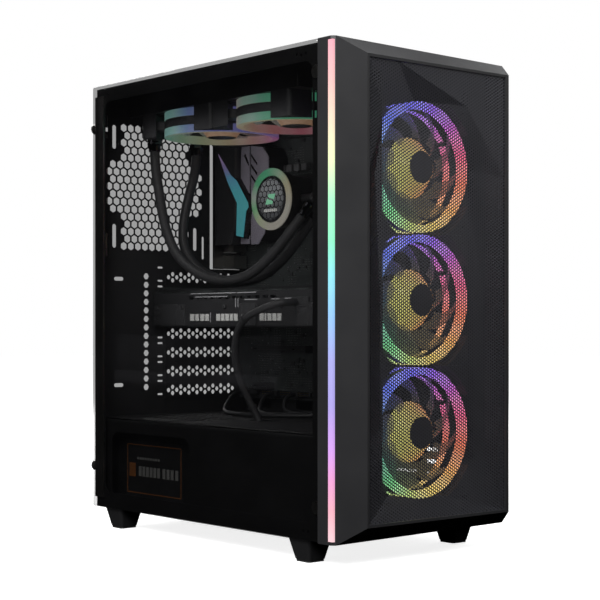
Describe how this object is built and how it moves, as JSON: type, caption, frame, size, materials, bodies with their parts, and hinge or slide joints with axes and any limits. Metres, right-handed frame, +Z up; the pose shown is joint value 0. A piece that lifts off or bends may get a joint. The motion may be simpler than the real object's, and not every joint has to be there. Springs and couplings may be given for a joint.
{
  "type": "desktop computer tower",
  "caption": "Upright computer case with a tinted glass side, folded mesh front with lit fans, liquid cooler, graphics card and power supply inside.",
  "frame": {"origin": "centre of the footprint at the floor, under the middle of the whole tower", "axes": "+Z up, front panel towards -Y, rear connectors towards +Y, glass side towards -X"},
  "size_m": [0.226, 0.398, 0.455],
  "materials": {
    "case_steel": "fine matt powder coat",
    "bare_steel": "zinc plated",
    "black_plastic": "fine moulded grain",
    "front_plastic": "satin moulded",
    "mesh_steel": "perforated, satin black",
    "tinted_glass": "tinted tempered",
    "light_guide": "milky diffuser, lit",
    "fan_blade": "smoky translucent",
    "rubber_black": "matt",
    "circuit_board": "solder mask",
    "armour_silver": "bead blasted",
    "fin_aluminium": "black coated fins",
    "socket_plastic": "moulded",
    "drive_metal": "cast",
    "filter_mesh": "woven nylon dust filter",
    "sleeve_black": "braided sleeve"
  },
  "bodies": {
    "chassis": {"rear_wall": "case_steel", "side_rims": "case_steel", "top_frame": "case_steel", "floor_pan": "case_steel", "front_frame": "case_steel", "motherboard_tray": "case_steel", "psu_shroud": "case_steel", "slot_covers": "case_steel", "chassis_screws": "bare_steel", "feet": "black_plastic", "foot_pads": "rubber_black", "drive_cage": "case_steel", "hard_drive": "drive_metal", "io_board": "circuit_board", "front_ports": "socket_plastic", "front_fan_frames": "black_plastic", "front_fan_rings": "light_guide", "top_fan_frames": "black_plastic", "top_fan_rings": "light_guide", "radiator": "fin_aluminium", "pump_head": "black_plastic", "pump_ring": "light_guide", "feed_hose": "sleeve_black", "return_hose": "sleeve_black", "motherboard": "circuit_board", "board_slots": "socket_plastic", "memory_modules": "fin_aluminium", "io_cover": "black_plastic", "board_heatsinks": "armour_silver", "rear_io": "bare_steel", "gpu_card": "circuit_board", "gpu_shroud": "black_plastic", "gpu_backplate": "fin_aluminium", "psu_case": "case_steel", "psu_inlet": "socket_plastic", "board_cables": "sleeve_black", "gpu_cable": "sleeve_black"},
    "glass_panel": {"glass_pane": "tinted_glass", "glass_fittings": "bare_steel"},
    "right_panel": {"steel_side_panel": "case_steel"},
    "front_panel": {"front_bezel": "front_plastic", "front_mesh": "mesh_steel", "light_strip": "light_guide"},
    "top_dust_filter": {"top_filter": "filter_mesh"},
    "bottom_dust_filter": {"bottom_filter": "filter_mesh"},
    "power_key": {"power_button": "black_plastic"},
    "reset_key": {"reset_button": "black_plastic"},
    "front_fan_1": {"front_rotor_1": "fan_blade"},
    "front_fan_2": {"front_rotor_2": "fan_blade"},
    "front_fan_3": {"front_rotor_3": "fan_blade"},
    "top_fan_1": {"top_rotor_1": "fan_blade"},
    "top_fan_2": {"top_rotor_2": "fan_blade"},
    "gpu_fan_1": {"gpu_rotor_1": "fan_blade"},
    "gpu_fan_2": {"gpu_rotor_2": "fan_blade"},
    "psu_fan": {"psu_rotor": "fan_blade"},
    "psu_rocker": {"psu_switch": "socket_plastic"},
    "screw_1": {"thumbscrew_1": "bare_steel"},
    "screw_2": {"thumbscrew_2": "bare_steel"},
    "screw_3": {"thumbscrew_3": "bare_steel"},
    "screw_4": {"thumbscrew_4": "bare_steel"}
  },
  "joints": [
    {"name": "glass_panel_pull", "type": "slide", "parent": "chassis", "child": "glass_panel", "axis": [-1, 0, 0], "range_m": [0, 0.15]},
    {"name": "right_panel_pull", "type": "slide", "parent": "chassis", "child": "right_panel", "axis": [1, 0, 0], "range_m": [0, 0.15]},
    {"name": "front_panel_pull", "type": "slide", "parent": "chassis", "child": "front_panel", "axis": [0, -1, 0], "range_m": [0, 0.1]},
    {"name": "top_filter_lift", "type": "slide", "parent": "chassis", "child": "top_dust_filter", "axis": [0, 0, 1], "range_m": [0, 0.08]},
    {"name": "bottom_filter_slide", "type": "slide", "parent": "chassis", "child": "bottom_dust_filter", "axis": [0, 1, 0], "range_m": [0, 0.165]},
    {"name": "power_press", "type": "slide", "parent": "chassis", "child": "power_key", "axis": [0, 0, -1], "range_m": [0, 0.0012], "stiffness_N_per_m": 900, "springref_m": -0.0005},
    {"name": "reset_press", "type": "slide", "parent": "chassis", "child": "reset_key", "axis": [0, 0, -1], "range_m": [0, 0.0012], "stiffness_N_per_m": 600, "springref_m": -0.0005},
    {"name": "front_fan_1_spin", "type": "hinge", "parent": "chassis", "child": "front_fan_1", "pos_m": [0, -0.154, 0.1108], "axis": [0, 1, 0], "continuous": true},
    {"name": "front_fan_2_spin", "type": "hinge", "parent": "chassis", "child": "front_fan_2", "pos_m": [0, -0.154, 0.2308], "axis": [0, 1, 0], "continuous": true},
    {"name": "front_fan_3_spin", "type": "hinge", "parent": "chassis", "child": "front_fan_3", "pos_m": [0, -0.154, 0.3508], "axis": [0, 1, 0], "continuous": true},
    {"name": "top_fan_1_spin", "type": "hinge", "parent": "chassis", "child": "top_fan_1", "pos_m": [-0.016, 0.0966, 0.426], "axis": [0, 0, 1], "continuous": true},
    {"name": "top_fan_2_spin", "type": "hinge", "parent": "chassis", "child": "top_fan_2", "pos_m": [-0.016, -0.0234, 0.426], "axis": [0, 0, 1], "continuous": true},
    {"name": "gpu_fan_1_spin", "type": "hinge", "parent": "chassis", "child": "gpu_fan_1", "pos_m": [0.012, 0.097, 0.206], "axis": [0, 0, 1], "continuous": true},
    {"name": "gpu_fan_2_spin", "type": "hinge", "parent": "chassis", "child": "gpu_fan_2", "pos_m": [0.012, 0.003, 0.206], "axis": [0, 0, 1], "continuous": true},
    {"name": "psu_fan_spin", "type": "hinge", "parent": "chassis", "child": "psu_fan", "pos_m": [-0.01, 0.1166, 0.022], "axis": [0, 0, 1], "continuous": true},
    {"name": "psu_rocker_tilt", "type": "hinge", "parent": "chassis", "child": "psu_rocker", "pos_m": [0.004, 0.1842, 0.044], "axis": [1, 0, 0], "range_deg": [-16, 0]},
    {"name": "screw_1_turn", "type": "hinge", "parent": "chassis", "child": "screw_1", "pos_m": [-0.104, 0.1905, 0.062], "axis": [0, 1, 0], "continuous": true},
    {"name": "screw_2_turn", "type": "hinge", "parent": "chassis", "child": "screw_2", "pos_m": [-0.104, 0.1905, 0.413], "axis": [0, 1, 0], "continuous": true},
    {"name": "screw_3_turn", "type": "hinge", "parent": "chassis", "child": "screw_3", "pos_m": [0.104, 0.1905, 0.062], "axis": [0, 1, 0], "continuous": true},
    {"name": "screw_4_turn", "type": "hinge", "parent": "chassis", "child": "screw_4", "pos_m": [0.104, 0.1905, 0.413], "axis": [0, 1, 0], "continuous": true}
  ]
}
